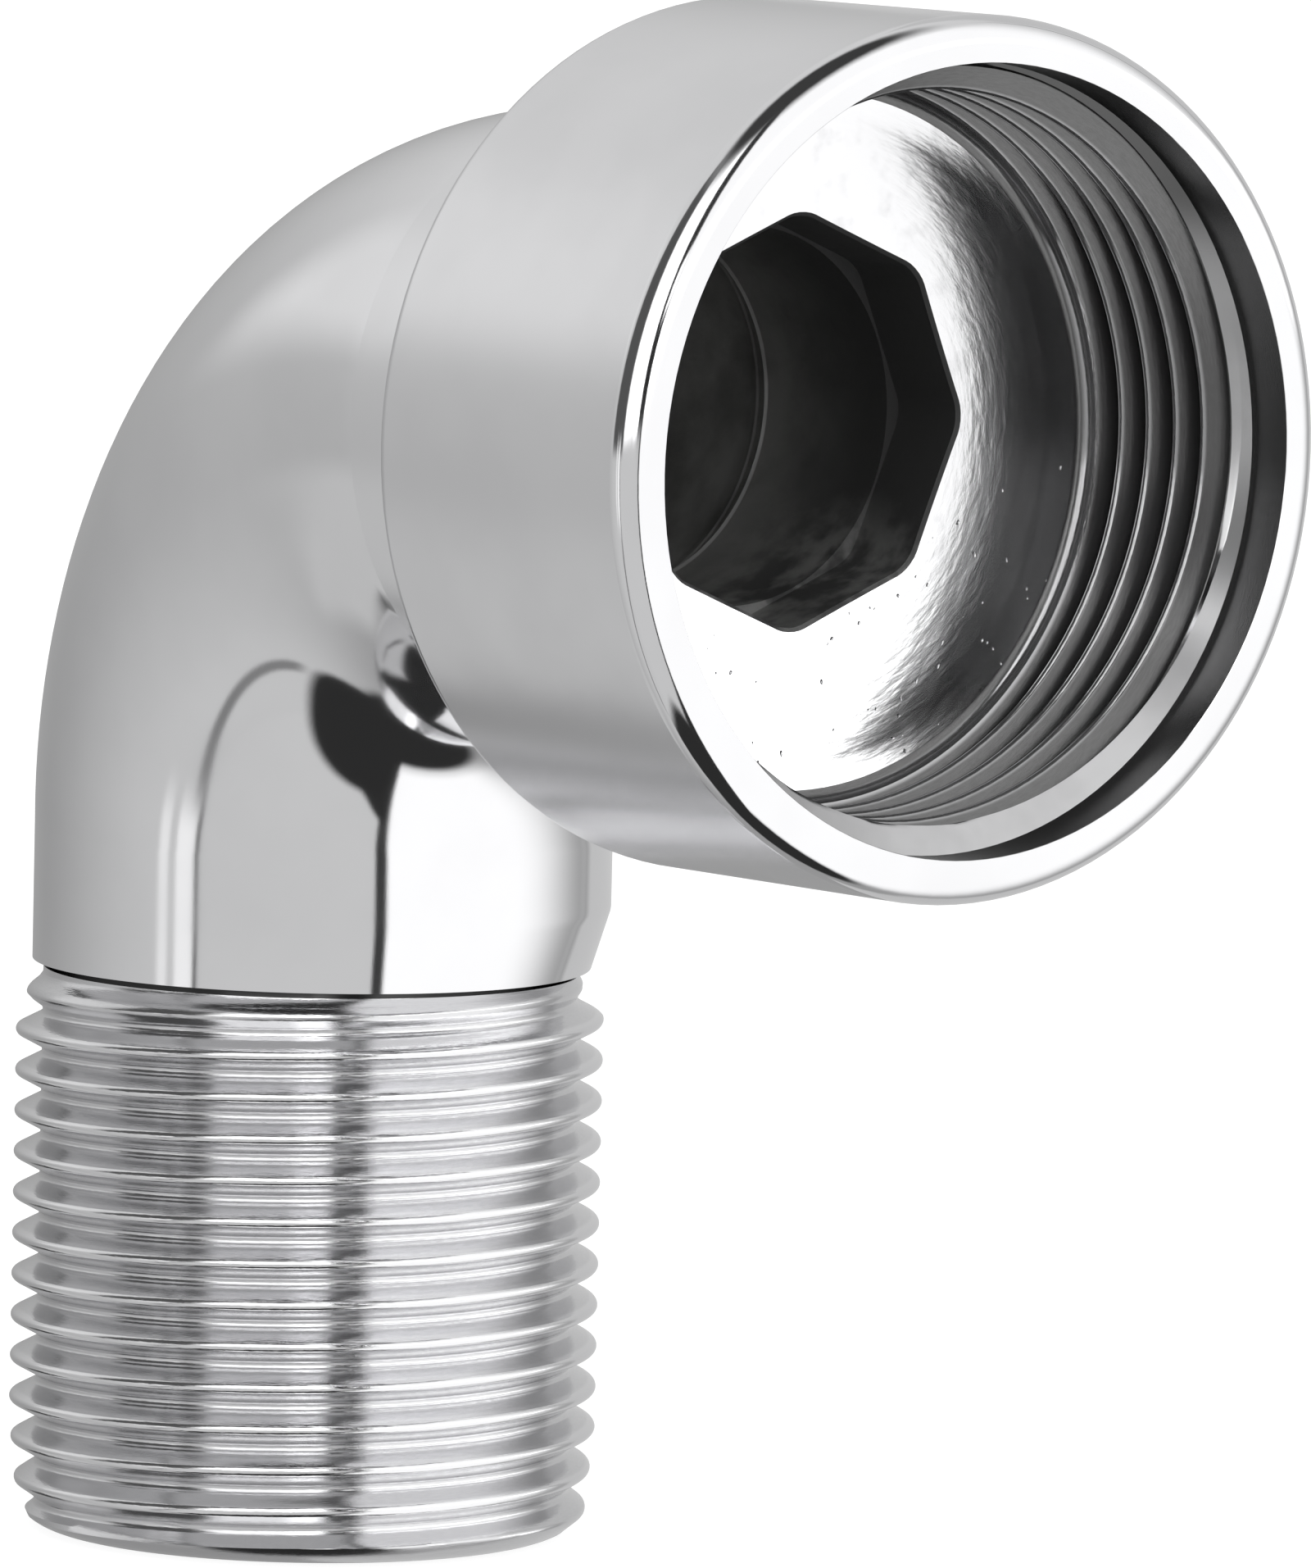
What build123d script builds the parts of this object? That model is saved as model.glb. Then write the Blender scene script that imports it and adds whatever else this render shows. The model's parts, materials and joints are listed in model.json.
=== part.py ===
from build123d import *
import os

# Wall outlet elbow: one brass casting with a threaded leg that screws into the wall's pipe, a bend that
# swells a little as it turns, and a threaded socket that faces out along +X.
# Millimetres. The leg stands on +Z, and the origin is the centre of its open end.

# Threaded leg: a G1 pipe thread, kept as a plain blank at its crest diameter
leg_thread_d = 33.0
leg_thread_depth = 1.48
leg_thread_len = 31.6
end_round = 2.8
runout_len = 0.5
leg_wall = 3.5

# Neck, bend and the straight run into the socket's back. The neck stands a little off the leg's axis,
# towards the socket.
neck_d = 32.4
neck_len = 7.6
neck_offset = 0.95
bend_radius = 24.7
outlet_len = 10.85

# Socket: a G1-1/4 pipe thread, kept as a plain bore at its crest diameter
socket_thread_d = 38.95
socket_thread_depth = 1.48
socket_len = 22.0
socket_depth = 14.9
mouth_clearance = 0.15
mouth_depth = 2.9
lead_in_len = 0.95
rim_wall = 2.5
rim_round = 1.5
rim_break = 0.25
shoulder = 6.5
shoulder_round = 1.0
root_round = 0.8
floor_round = 0.8
floor_dish = 1.0

# Eight-sided port in the socket's floor, a little above the socket's axis
port_sides = 8
port_flats = 20.9
port_depth = 5.0
port_corner_round = 1.0
port_rise = 1.0

# Waterway from the leg's open end to the port
bore_bend_inset = 0.7
bore_step_len = 3.0
port_ledge = 0.15

# Sizes that follow from the ones above
leg_r = leg_thread_d / 2
root_r = leg_r - leg_thread_depth
neck_r = neck_d / 2
foot_height = leg_thread_len + runout_len
leg_len = foot_height + neck_len
axis_height = leg_len + bend_radius
socket_r = socket_thread_d / 2
mouth_r = socket_r + socket_thread_depth + mouth_clearance
barrel_r = mouth_r + rim_wall
outlet_r = barrel_r - shoulder
outlet_x = neck_offset + bend_radius
back_x = outlet_x + outlet_len
reach = back_x + socket_len
floor_x = reach - socket_depth
port_x = floor_x - floor_dish
bore_r = root_r - leg_wall
bore_height = axis_height + port_rise
bore_bend_radius = bend_radius - bore_bend_inset
bore_rise_len = bore_height - bore_bend_radius
port_bore_r = port_flats / 2 - port_ledge
port_bore_x = bore_bend_radius + bore_step_len
dish_inner_r = port_bore_r - port_rise

leg_axis = Axis((0, 0, 0), (0, 0, 1))
socket_axis = Axis((0, 0, axis_height), (1, 0, 0))


def facing_out(x, z):
    """A plane across the socket's direction at reach x and height z, with its sketch axes on +Y and +Z."""
    return Plane((x, 0, z), x_dir=(0, 1, 0), z_dir=(1, 0, 0))


with BuildPart() as elbow_body:
    # Leg: thread blank with a rounded end, and the run-out at the thread's root
    with BuildSketch(Plane.XZ) as leg_profile:
        with BuildLine():
            Polyline(
                (0, 0),
                (leg_r, 0),
                (leg_r, leg_thread_len - leg_thread_depth / 2),
                (root_r, leg_thread_len),
                (root_r, foot_height),
                (0, foot_height),
                close=True,
            )
        make_face()
        end_corner = leg_profile.vertices().group_by(Axis.Y)[0].sort_by(Axis.X)[-1]
        fillet(end_corner, end_round)
    revolve(axis=leg_axis)

    # Neck: a round stem, whose foot stands out over the thread's root all round
    with BuildSketch(Plane.XY.offset(foot_height)):
        with Locations((neck_offset, 0)):
            Circle(neck_r)
    extrude(amount=neck_len)

    # Bend: a round section that swells from the neck to the outlet
    with BuildLine(Plane.XZ) as bend_path:
        JernArc(start=(neck_offset, leg_len), tangent=(0, 1), radius=bend_radius, arc_size=-90)
    with BuildSketch(Plane.XY.offset(leg_len)):
        with Locations((neck_offset, 0)):
            Circle(neck_r)
    with BuildSketch(facing_out(outlet_x, axis_height)):
        Circle(outlet_r)
    sweep(path=bend_path.wire(), multisection=True)

    # Outlet: the straight run into the socket's back
    with BuildSketch(facing_out(outlet_x, axis_height)):
        Circle(outlet_r)
    extrude(amount=outlet_len)

    # Socket: a barrel with a rounded shoulder and a rounded rim
    with BuildSketch(facing_out(back_x, axis_height)):
        Circle(barrel_r)
    extrude(amount=socket_len)
    barrel_edges = elbow_body.edges().filter_by(GeomType.CIRCLE).filter_by(
        lambda edge: abs(edge.radius - barrel_r) < 1e-6
    )
    fillet(barrel_edges.sort_by(Axis.X)[0], shoulder_round)
    fillet(barrel_edges.sort_by(Axis.X)[-1], rim_round)
    root_edge = elbow_body.edges().filter_by(GeomType.CIRCLE).filter_by(
        lambda edge: abs(edge.radius - outlet_r) < 1e-6 and abs(edge.center().X - back_x) < 1e-6
    )
    fillet(root_edge, root_round)

    # Socket recess: smooth mouth, lead-in, tapped bore, and a floor dished towards the port
    with BuildSketch(Plane.XZ) as recess_profile:
        with BuildLine():
            Polyline(
                (port_x, axis_height),
                (port_x, axis_height + dish_inner_r),
                (floor_x, axis_height + socket_r),
                (reach - mouth_depth - lead_in_len, axis_height + socket_r),
                (reach - mouth_depth, axis_height + mouth_r),
                (reach - rim_break, axis_height + mouth_r),
                (reach, axis_height + mouth_r + rim_break),
                (reach, axis_height),
                close=True,
            )
        make_face()
        floor_corner = recess_profile.vertices().filter_by(
            lambda corner: abs(corner.X - floor_x) < 1e-6
        )
        fillet(floor_corner, floor_round)
    revolve(axis=socket_axis, mode=Mode.SUBTRACT)

    # Port: an eight-sided pocket with a corner at the top
    with BuildSketch(facing_out(port_x - port_depth, bore_height)) as port_outline:
        RegularPolygon(port_flats / 2, port_sides, major_radius=False, rotation=90)
        fillet(port_outline.vertices(), port_corner_round)
    extrude(amount=port_depth + floor_dish, mode=Mode.SUBTRACT)

    # Waterway: straight up the leg, round the bend, then a conical step into the port's round bore
    with BuildSketch(Plane.XY):
        Circle(bore_r)
    extrude(amount=bore_rise_len, mode=Mode.SUBTRACT)
    with BuildLine(Plane.XZ) as bore_path:
        JernArc(start=(0, bore_rise_len), tangent=(0, 1), radius=bore_bend_radius, arc_size=-90)
    with BuildSketch(Plane.XY.offset(bore_rise_len)):
        Circle(bore_r)
    sweep(path=bore_path.wire(), mode=Mode.SUBTRACT)
    with BuildSketch(facing_out(bore_bend_radius, bore_height)):
        Circle(bore_r)
    with BuildSketch(facing_out(port_bore_x, bore_height)):
        Circle(port_bore_r)
    loft(mode=Mode.SUBTRACT)
    with BuildSketch(facing_out(port_bore_x, bore_height)):
        Circle(port_bore_r)
    extrude(amount=port_x - port_bore_x, mode=Mode.SUBTRACT)

elbow_body.part.label = "elbow_body"

os.makedirs("parts", exist_ok=True)
export_step(elbow_body.part, "parts/elbow_body.step")

print(f"axis height {axis_height:.2f}, reach {reach:.2f}, barrel diameter {2 * barrel_r:.2f} mm")
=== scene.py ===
"""Looks of a chrome-plated wall outlet elbow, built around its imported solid.

Everything is in metres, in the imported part's frame: the leg stands on +Z with its open end at the origin,
and the socket looks out along +X.
"""

import json
import logging
import math
from collections.abc import Callable, Iterator, Sequence
from contextlib import contextmanager
from dataclasses import dataclass
from enum import Enum
from functools import cached_property

import bpy
import numpy as np
from mathutils import Matrix, Vector


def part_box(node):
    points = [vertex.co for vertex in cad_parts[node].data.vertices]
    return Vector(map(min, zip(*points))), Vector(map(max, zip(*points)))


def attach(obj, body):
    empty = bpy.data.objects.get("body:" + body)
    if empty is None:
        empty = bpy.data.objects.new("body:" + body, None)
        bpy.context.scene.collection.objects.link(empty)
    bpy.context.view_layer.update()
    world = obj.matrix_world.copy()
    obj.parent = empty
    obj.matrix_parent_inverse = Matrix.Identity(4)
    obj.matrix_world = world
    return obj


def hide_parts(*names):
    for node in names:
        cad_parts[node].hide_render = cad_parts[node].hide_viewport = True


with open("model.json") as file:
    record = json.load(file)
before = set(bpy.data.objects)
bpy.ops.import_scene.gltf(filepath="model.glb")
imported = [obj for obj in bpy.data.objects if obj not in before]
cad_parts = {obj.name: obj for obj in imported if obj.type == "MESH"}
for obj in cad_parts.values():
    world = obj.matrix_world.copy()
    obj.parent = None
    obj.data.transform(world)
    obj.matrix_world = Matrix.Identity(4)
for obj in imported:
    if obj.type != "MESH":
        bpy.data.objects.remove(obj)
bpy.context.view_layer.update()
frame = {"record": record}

log = logging.getLogger("elbow")

Piece = bpy.types.Object
Socket = bpy.types.NodeSocket
Value = float | Sequence[float] | Socket
Pair = tuple[float, float]
Colour = tuple[float, float, float, float]
Limit = Callable[[np.ndarray, np.ndarray], np.ndarray]

BODY = "root"
NODE = "elbow_body"
MM = 0.001
RING = 128
WELD = 1e-6
FULL_TURN = 2 * math.pi
QUARTER_TURN = math.pi / 2
SHARP_ANGLE = math.radians(35)
# mesh.spin turns against the right-hand rule here, so this axis leads a ring up and over towards +X
SPIN_UP = (0, -1, 0)


class Axis(Enum):
    """The two axes that the elbow is turned about, by the letter that Blender's tools use."""

    LEG = "Z"
    SOCKET = "X"

    @property
    def direction(self) -> Vector:
        """Unit vector along the axis."""
        return Vector((0, 0, 1)) if self is Axis.LEG else Vector((1, 0, 0))


def deselect_all() -> None:
    """Leaves no object selected."""
    bpy.ops.object.select_all(action="DESELECT")


def activate(*pieces: Piece) -> None:
    """Selects some pieces alone and makes the first one active.

    Args:
        pieces: The objects to select.
    """
    deselect_all()
    for piece in pieces:
        piece.select_set(True)
    bpy.context.view_layer.objects.active = pieces[0]


@contextmanager
def editing(piece: Piece) -> Iterator[None]:
    """Opens one piece alone in edit mode with everything selected, and closes it again.

    Args:
        piece: The mesh object to edit.

    Yields:
        Nothing, while the piece is open.
    """
    activate(piece)
    bpy.ops.object.mode_set(mode="EDIT")
    bpy.ops.mesh.select_all(action="SELECT")
    yield
    bpy.ops.object.mode_set(mode="OBJECT")


def select_edges(piece: Piece, wanted: Callable[[Vector, Vector], bool]) -> None:
    """Selects, in edit mode, only the edges whose two ends pass a test.

    Args:
        piece: The object that is open in edit mode.
        wanted: Takes the edge's two end points and says whether it is wanted.
    """
    bpy.ops.mesh.select_mode(type="EDGE")
    bpy.ops.mesh.select_all(action="DESELECT")
    bpy.ops.object.mode_set(mode="OBJECT")
    mesh = piece.data
    for edge in mesh.edges:
        first, second = (mesh.vertices[i].co for i in edge.vertices)
        edge.select = wanted(first, second)
    bpy.ops.object.mode_set(mode="EDIT")


def extrude(offset: Sequence[float]) -> None:
    """Extrudes what is selected in edit mode."""
    bpy.ops.mesh.extrude_region_move(TRANSFORM_OT_translate={"value": offset})


def resize(scale: Sequence[float], centre: Sequence[float]) -> None:
    """Scales what is selected in edit mode about a centre."""
    bpy.ops.transform.resize(value=scale, center_override=centre)


def arc(centre: Pair, radius: float, start: float, end: float, steps: int) -> list[Pair]:
    """Points along a circular arc, cut into equal steps between two angles in degrees."""
    angles = np.radians(np.linspace(start, end, steps + 1))
    return [(centre[0] + radius * math.cos(a), centre[1] + radius * math.sin(a)) for a in angles]


def draw_chain(name: str, points: Sequence[Vector]) -> Piece:
    """Draws an open chain of edges by extruding one vertex from point to point.

    Args:
        name: Name of the new object.
        points: The corners in order.

    Returns:
        The new object, with its place in its mesh.
    """
    deselect_all()
    bpy.ops.mesh.primitive_plane_add(size=MM, location=points[0])
    chain = bpy.context.object
    chain.name = name
    with editing(chain):
        bpy.ops.mesh.merge(type="CENTER")
        for start, end in zip(points, points[1:]):
            bpy.ops.mesh.extrude_vertices_move(TRANSFORM_OT_translate={"value": end - start})
    bpy.ops.object.transform_apply(location=True, rotation=False, scale=False)
    return chain


def add_ring(name: str, radius: float, centre: Vector, axis: Axis, vertices: int = RING) -> Piece:
    """Adds a bare ring of vertices across one of the two axes.

    Args:
        name: Name of the new object.
        radius: Radius of the ring.
        centre: Centre of the ring.
        axis: The axis that the ring lies across.
        vertices: Number of vertices.

    Returns:
        The new object, with its place in its mesh.
    """
    deselect_all()
    tilt = (0, 0, 0) if axis is Axis.LEG else (0, QUARTER_TURN, 0)
    bpy.ops.mesh.primitive_circle_add(vertices=vertices, radius=radius, location=centre, rotation=tilt)
    ring = bpy.context.object
    ring.name = name
    bpy.ops.object.transform_apply(location=True, rotation=True, scale=False)
    return ring


def turn(name: str, points: Sequence[Vector], centre: Vector, axis: Axis) -> Piece:
    """Draws a profile, spins it once round an axis and closes the seam.

    Args:
        name: Name of the new object.
        points: The profile's corners in order.
        centre: A point on the axis.
        axis: The axis to spin about.

    Returns:
        The turned skin.
    """
    skin = draw_chain(name, points)
    with editing(skin):
        bpy.ops.mesh.spin(steps=RING, angle=FULL_TURN, center=centre, axis=axis.direction)
        bpy.ops.mesh.select_all(action="SELECT")
        bpy.ops.mesh.remove_doubles(threshold=WELD)
    return skin


@dataclass
class PipeThread:
    """A rounded 55 degree pipe thread as a helical skin, trimmed to the part that carries it.

    Attributes:
        name: Name of the skin's object.
        axis: The axis that the thread runs round.
        pitch: Distance from crest to crest.
        depth: Depth from crest to root.
        crest_r: Radius over the crests.
        outside: Whether the thread is on the outside of its part.
        crest_at: Where a crest crosses angle zero, along the axis.
        span: First and last place of the skin along the axis.
        rounding_share: Radius of the rounded crests and roots, as a share of the pitch.
        snap: Distance within which vertices are pulled to the span's ends.
    """

    name: str
    axis: Axis
    pitch: float
    depth: float
    crest_r: float
    outside: bool
    crest_at: float
    span: Pair
    flank_angle: float = math.radians(27.5)
    rounding_share: float = 0.1373
    arc_steps: int = 4
    flank_steps: int = 2
    snap: float = 0.02 * MM

    def tooth(self) -> list[Pair]:
        """One pitch of the thread's profile.

        Returns:
            Points of place along the axis and depth below the crest, from one crest to the next.
        """
        rounding = self.rounding_share * self.pitch
        reach = rounding * math.cos(self.flank_angle)
        drop = rounding * (1 - math.sin(self.flank_angle))
        sweep = math.degrees(math.pi / 2 - self.flank_angle)
        crest = arc((0, rounding), rounding, -90, -90 + sweep, self.arc_steps)
        root_centre = (self.pitch / 2, self.depth - rounding)
        root = arc(root_centre, rounding, 90 + sweep, 90, self.arc_steps)
        share = np.linspace(0, 1, self.flank_steps + 1)[1:-1]
        start, end = (reach, drop), (self.pitch / 2 - reach, self.depth - drop)
        flank = [(start[0] + s * (end[0] - start[0]), start[1] + s * (end[1] - start[1])) for s in share]
        half = crest + flank + root
        return half + [(self.pitch - along, below) for along, below in reversed(half[:-1])]

    def build(self, limit: Limit) -> Piece:
        """Winds the tooth into a helix and trims it.

        Args:
            limit: Takes places along the axis and radii there, and gives the trimmed radii.

        Returns:
            The thread's skin about an axis through the origin.
        """
        side = -1 if self.outside else 1
        turns = math.ceil((self.span[1] - self.span[0]) / self.pitch) + 2
        first = self.crest_at + math.floor((self.span[0] - self.crest_at) / self.pitch - 1) * self.pitch
        points = [(first + along, self.crest_r + side * below) for along, below in self.tooth()]
        if self.axis is Axis.LEG:
            corners = [Vector((radius, 0, along)) for along, radius in points]
        else:
            corners = [Vector((along, 0, radius)) for along, radius in points]
        skin = draw_chain(self.name, corners)
        helix = skin.modifiers.new("helix", "SCREW")
        helix.axis = self.axis.value
        helix.angle = FULL_TURN
        helix.screw_offset = self.pitch
        helix.iterations = turns
        helix.steps = RING
        helix.render_steps = RING
        activate(skin)
        bpy.ops.object.modifier_apply(modifier=helix.name)
        self.trim(skin, limit)
        return skin

    def trim(self, skin: Piece, limit: Limit) -> None:
        """Pulls the helix's vertices back to its span and to the radii that its part leaves.

        Args:
            skin: The helical skin.
            limit: Takes places along the axis and radii there, and gives the trimmed radii.
        """
        along_i, across_i, up_i = (2, 0, 1) if self.axis is Axis.LEG else (0, 1, 2)
        co = np.empty(len(skin.data.vertices) * 3)
        skin.data.vertices.foreach_get("co", co)
        co = co.reshape(-1, 3)
        along = np.clip(co[:, along_i], *self.span)
        for end in self.span:
            along[np.abs(along - end) < self.snap] = end
        radius = np.hypot(co[:, across_i], co[:, up_i])
        scale = limit(along, radius) / radius
        co[:, along_i] = along
        co[:, across_i] *= scale
        co[:, up_i] *= scale
        skin.data.vertices.foreach_set("co", co.ravel())
        with editing(skin):
            bpy.ops.mesh.remove_doubles(threshold=WELD)


class NodeGraph:
    """Adds and links the nodes of one material or world."""

    def __init__(self, tree: bpy.types.NodeTree) -> None:
        """Starts with an empty tree."""
        self.tree = tree
        tree.nodes.clear()

    @cached_property
    def place(self) -> Socket:
        """Object coordinates, for the nodes of a surface."""
        return self.add("ShaderNodeTexCoord", {}).outputs["Object"]

    def add(self, kind: str, inputs: dict[str | int, Value], **options: object) -> bpy.types.Node:
        """Adds one node, with its options set and its inputs set or linked.

        Args:
            kind: The node's type.
            inputs: Numbers, colours or sockets by the name or number of the input they go to.
            options: The node's own settings.

        Returns:
            The new node.
        """
        node = self.tree.nodes.new(kind)
        for name, option in options.items():
            setattr(node, name, option)
        for name, value in inputs.items():
            if isinstance(value, Socket):
                self.tree.links.new(value, node.inputs[name])
            else:
                node.inputs[name].default_value = value
        return node

    def math(self, operation: str, *values: Value) -> Socket:
        """Output of a Math node on the given values."""
        return self.add("ShaderNodeMath", dict(enumerate(values)), operation=operation).outputs[0]

    def ramp(self, value: Value, start: float, end: float, low: float = 0.0, high: float = 1.0) -> Socket:
        """A smooth step of a value, from low at the start to high at the end and level outside them."""
        inputs = {"Value": value, "From Min": start, "From Max": end, "To Min": low, "To Max": high}
        return self.add("ShaderNodeMapRange", inputs, interpolation_type="SMOOTHSTEP").outputs["Result"]

    def band(self, value: Value, limits: Sequence[float], soft: Sequence[float]) -> Socket:
        """A mask of 1 where a value lies between two limits, with a soft edge of a half width at each."""
        fall = self.ramp(value, limits[1] - soft[1], limits[1] + soft[1], 1.0, 0.0)
        return self.math("MULTIPLY", self.ramp(value, limits[0] - soft[0], limits[0] + soft[0]), fall)

    def mix(self, mask: Value, first: Value, second: Value) -> Socket:
        """A number between two others, by a mask."""
        return self.add("ShaderNodeMix", {0: mask, 2: first, 3: second}).outputs[0]

    def tint(self, mask: Value, first: Value, second: Value) -> Socket:
        """A colour between two others, by a mask."""
        inputs = {0: mask, 6: first, 7: second}
        return self.add("ShaderNodeMix", inputs, data_type="RGBA").outputs[2]

    def noise(self, place: Value, size: float, detail: float = 2.0, rough: float = 0.5) -> Socket:
        """Cloudy noise with features of about the given size."""
        inputs = {"Vector": place, "Scale": 1 / size, "Detail": detail, "Roughness": rough}
        return self.add("ShaderNodeTexNoise", inputs).outputs[0]

    def parts(self, vector: Value) -> Sequence[Socket]:
        """The three components of a vector."""
        return self.add("ShaderNodeSeparateXYZ", {"Vector": vector}).outputs

    def rest(self, mask: Value) -> Socket:
        """The mask of what another mask leaves over."""
        return self.math("SUBTRACT", 1.0, mask)

    def stretched(self, place: Value, scale: Sequence[float]) -> Socket:
        """Coordinates multiplied by a scale along each axis."""
        return self.add("ShaderNodeMapping", {"Vector": place, "Scale": scale}).outputs[0]

    def around(self, axis: Axis, height: float) -> tuple[Socket, Socket]:
        """Distance from one of the elbow's axes, and angle round it.

        Args:
            axis: The axis to measure from.
            height: Height of that axis, for the socket's.

        Returns:
            The distance and the angle.
        """
        ahead, across, up = self.parts(self.place)
        other = self.math("SUBTRACT", up, height) if axis is Axis.SOCKET else ahead
        squares = self.math("ADD", self.math("POWER", across, 2.0), self.math("POWER", other, 2.0))
        return self.math("SQRT", squares), self.math("ARCTAN2", other, across)

    def bump(self, height: Value, depth: float, normal: Value | None = None) -> Socket:
        """A normal roughened by a height map of a given depth, over an earlier normal if there is one."""
        earlier = {} if normal is None else {"Normal": normal}
        return self.add("ShaderNodeBump", {"Height": height, "Distance": depth, **earlier}).outputs[0]


@dataclass(frozen=True)
class Plating:
    """What the plated surfaces share: a colour with faint smears, and a sheen that the smears roughen; some
    also carry painted shade, painted light and painted highlights.

    Attributes:
        name: Name of the material.
        bright: Colour of the clean plating.
        dull_and_shade: Colour under a smear, and the colour of the painted shade in the materials that
            carry it.
        sheen: Roughness of the clean plating and under a smear.
        smear_size: Size of a smear.
        smear_levels: Levels of the noise between which a smear's edge lies.
        smear_share: How strong the smears are.
        metal: How far the surface is metal and not grime; the socket thread's smaller share of metal is
            part of its painted shade.
        edge: Tint of the mirror image where the surface is seen edge on; a dark tint is painted shade.
    """

    name: str
    bright: Colour
    dull_and_shade: Colour
    sheen: Pair
    smear_size: float = 5 * MM
    smear_levels: Pair = (0.35, 0.75)
    smear_share: float = 1.0
    metal: float = 1.0
    edge: Colour = (1, 1, 1, 1)

    def material(self) -> bpy.types.Material:
        """Builds the material.

        Returns:
            The node material.
        """
        material = bpy.data.materials.new(self.name)
        material.use_nodes = True
        graph = NodeGraph(material.node_tree)
        dullness_and_shade = self.dullness_and_shade(graph)
        inputs = {
            "Base Color": graph.tint(dullness_and_shade, self.bright, self.dull_and_shade),
            "Metallic": self.metallic(graph),
            "Roughness": graph.mix(dullness_and_shade, *self.sheen),
            "Specular Tint": self.edge,
        }
        relief = self.relief(graph)
        if relief is not None:
            inputs["Normal"] = relief
        shader = graph.add("ShaderNodeBsdfPrincipled", inputs)
        graph.add("ShaderNodeOutputMaterial", {"Surface": shader.outputs[0]})
        return material

    def metallic(self, graph: NodeGraph) -> Value:
        """How far the surface is metal, here the same all over."""
        return self.metal

    def smears(self, graph: NodeGraph) -> Socket:
        """A cloudy mask of the smears."""
        cloud = graph.noise(graph.place, self.smear_size, 4.0)
        return graph.ramp(cloud, *self.smear_levels, 0.0, self.smear_share)

    def dullness_and_shade(self, graph: NodeGraph) -> Socket:
        """A mask of the duller parts, here the smears."""
        return self.smears(graph)

    def relief(self, graph: NodeGraph) -> Socket | None:
        """The surface's fine relief as a normal, here none."""
        return None


@dataclass(frozen=True)
class PolishedPlating(Plating):
    """Bright plating over a hand-polished casting, with a slow ripple and hairline buffing marks."""

    bright: Colour = (0.80, 0.80, 0.81, 1)
    dull_and_shade: Colour = (0.76, 0.76, 0.77, 1)
    sheen: Pair = (0.05, 0.11)
    smear_size: float = 11 * MM
    ripple_size: float = 9 * MM
    ripple_depth: float = 0.012 * MM
    hairline_size: float = 0.5 * MM
    hairline_depth: float = 0.0003 * MM
    hairline_stretch: float = 12.0

    def relief(self, graph: NodeGraph) -> Socket:
        """A slow ripple with hairlines that run round the bend.

        Args:
            graph: The material's nodes.

        Returns:
            The roughened normal.
        """
        ripple = graph.bump(graph.noise(graph.place, self.ripple_size, 1.0), self.ripple_depth)
        hairs = graph.stretched(graph.place, (1, self.hairline_stretch, 1))
        return graph.bump(graph.noise(hairs, self.hairline_size, 3.0), self.hairline_depth, ripple)


@dataclass(frozen=True)
class ThreadPlating(Plating):
    """Plating over a cut thread: turning marks run round it, and painted shade makes the roots darker than
    the crests.

    Attributes:
        axis: The axis that the thread runs round.
        height: Height of that axis.
        root_r: Radius of the roots.
        crest_r: Radius of the crests.
        crest_share: Share of the depth that stays bright at the crests.
        crest_margin: Share of the depth that the bright crests reach past their radius.
        crest_soft: Half the width of the bright crests' soft edge.
        mark_share: How far the turning marks brighten the rest.
        mark_levels: Levels of the noise between which a mark's edge lies.
    """

    bright: Colour = (0.78, 0.78, 0.79, 1)
    # The roots' darker colour is painted shade in the thread's grooves; the turning marks are real.
    dull_and_shade: Colour = (0.66, 0.66, 0.67, 1)
    sheen: Pair = (0.07, 0.15)
    axis: Axis = Axis.LEG
    height: float = 0.0
    root_r: float = 1.0
    crest_r: float = 1.0
    crest_share: float = 0.3
    crest_margin: float = 0.2
    crest_soft: float = 0.12 * MM
    mark_share: float = 0.3
    mark_levels: Pair = (0.3, 0.8)
    mark_size: float = 0.6 * MM
    mark_stretch: float = 14.0
    mark_depth: float = 0.006 * MM

    def marks(self, graph: NodeGraph) -> Socket:
        """Turning marks, as noise drawn out round the axis."""
        scale = (1, 1, self.mark_stretch) if self.axis is Axis.LEG else (self.mark_stretch, 1, 1)
        return graph.noise(graph.stretched(graph.place, scale), self.mark_size, 3.0)

    def dullness_and_shade(self, graph: NodeGraph) -> Socket:
        """A mask of painted shade over all but the crests, broken up by the turning marks.

        Args:
            graph: The material's nodes.

        Returns:
            The mask.
        """
        radius, _ = graph.around(self.axis, self.height)
        depth = self.root_r - self.crest_r
        limits = sorted((self.crest_r - self.crest_margin * depth, self.crest_r + self.crest_share * depth))
        crest = graph.band(radius, limits, (self.crest_soft, self.crest_soft))
        marks = graph.ramp(self.marks(graph), *self.mark_levels)
        return graph.math("MULTIPLY", graph.rest(crest), graph.mix(marks, 1 - self.mark_share, 1.0))

    def relief(self, graph: NodeGraph) -> Socket:
        """The turning marks, as a normal."""
        return graph.bump(self.marks(graph), self.mark_depth)


@dataclass(frozen=True)
class TurnedPlating(Plating):
    """Plating over the socket's turned lead-in, with painted shade: darker than the outer chrome low down,
    and darker still further up.

    Attributes:
        shade_heights: Heights between which the darker painted shade sets in.
    """

    name: str = "turned_chrome"
    # The lead-in's colours are painted shade: darker than the outer chrome low down, and darker still
    # further up.
    bright: Colour = (0.50, 0.50, 0.505, 1)
    dull_and_shade: Colour = (0.10, 0.10, 0.10, 1)
    sheen: Pair = (0.22, 0.32)
    smear_size: float = 6 * MM
    smear_share: float = 0.2
    edge: Colour = (0.5, 0.5, 0.5, 1)
    shade_heights: Pair = (0.0, 1.0)

    def dullness_and_shade(self, graph: NodeGraph) -> Socket:
        """A mask of the painted shade further up, with faint smears below it."""
        up = graph.parts(graph.place)[2]
        return graph.math("MAXIMUM", self.smears(graph), graph.ramp(up, *self.shade_heights))


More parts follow.
